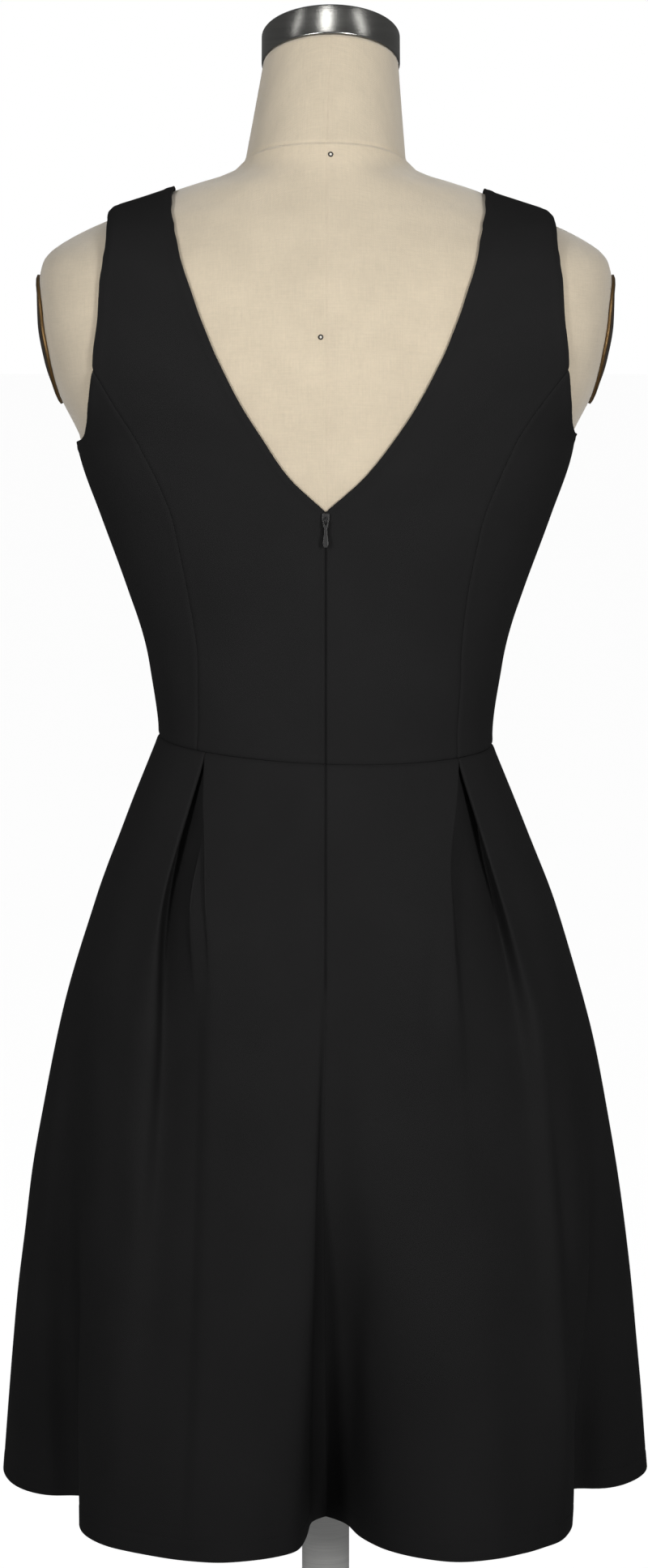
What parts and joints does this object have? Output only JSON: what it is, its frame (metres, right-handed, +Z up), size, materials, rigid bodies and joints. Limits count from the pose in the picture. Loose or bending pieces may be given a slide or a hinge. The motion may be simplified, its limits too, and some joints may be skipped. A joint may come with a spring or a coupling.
{
  "type": "cocktail dress on a dress form",
  "caption": "Sleeveless V-back cocktail dress with a pleated, flared skirt and a back zip, on a limbless dress form with a pole and round base.",
  "frame": {"origin": "centre of the underside of the stand's round base, on the floor", "axes": "+Z up; +Y the way the wearer faces, so the zip and the centre back face -Y; +X to the wearer's right"},
  "size_m": [0.4372, 0.4696, 1.522],
  "materials": {
    "dress_cloth": "matte black double-knit crepe",
    "zip_enamel": "black enamel",
    "form_linen": "natural linen",
    "steel": "brushed",
    "plate_bronze": "dark bronzed",
    "base_iron": "satin black paint"
  },
  "bodies": {
    "root": {"bodice_centre_back_left": "dress_cloth", "bodice_centre_back_right": "dress_cloth", "bodice_side_back_left": "dress_cloth", "bodice_side_back_right": "dress_cloth", "bodice_side_front_left": "dress_cloth", "bodice_side_front_right": "dress_cloth", "bodice_centre_front": "dress_cloth", "skirt_back_left": "dress_cloth", "skirt_back_right": "dress_cloth", "skirt_front": "dress_cloth", "zip_slider": "zip_enamel", "form_body": "form_linen", "form_neck_cap": "steel", "form_arm_plate_left": "plate_bronze", "form_arm_plate_right": "plate_bronze", "stand_pole": "steel", "stand_base": "base_iron"},
    "zip_pull": {"zip_pull": "zip_enamel"}
  },
  "joints": [
    {"name": "zip_pull_hinge", "type": "hinge", "parent": "root", "child": "zip_pull", "pos_m": [0, -0.10909, 1.1901], "axis": [-1, 0, 0], "range_deg": [0, 150]}
  ]
}
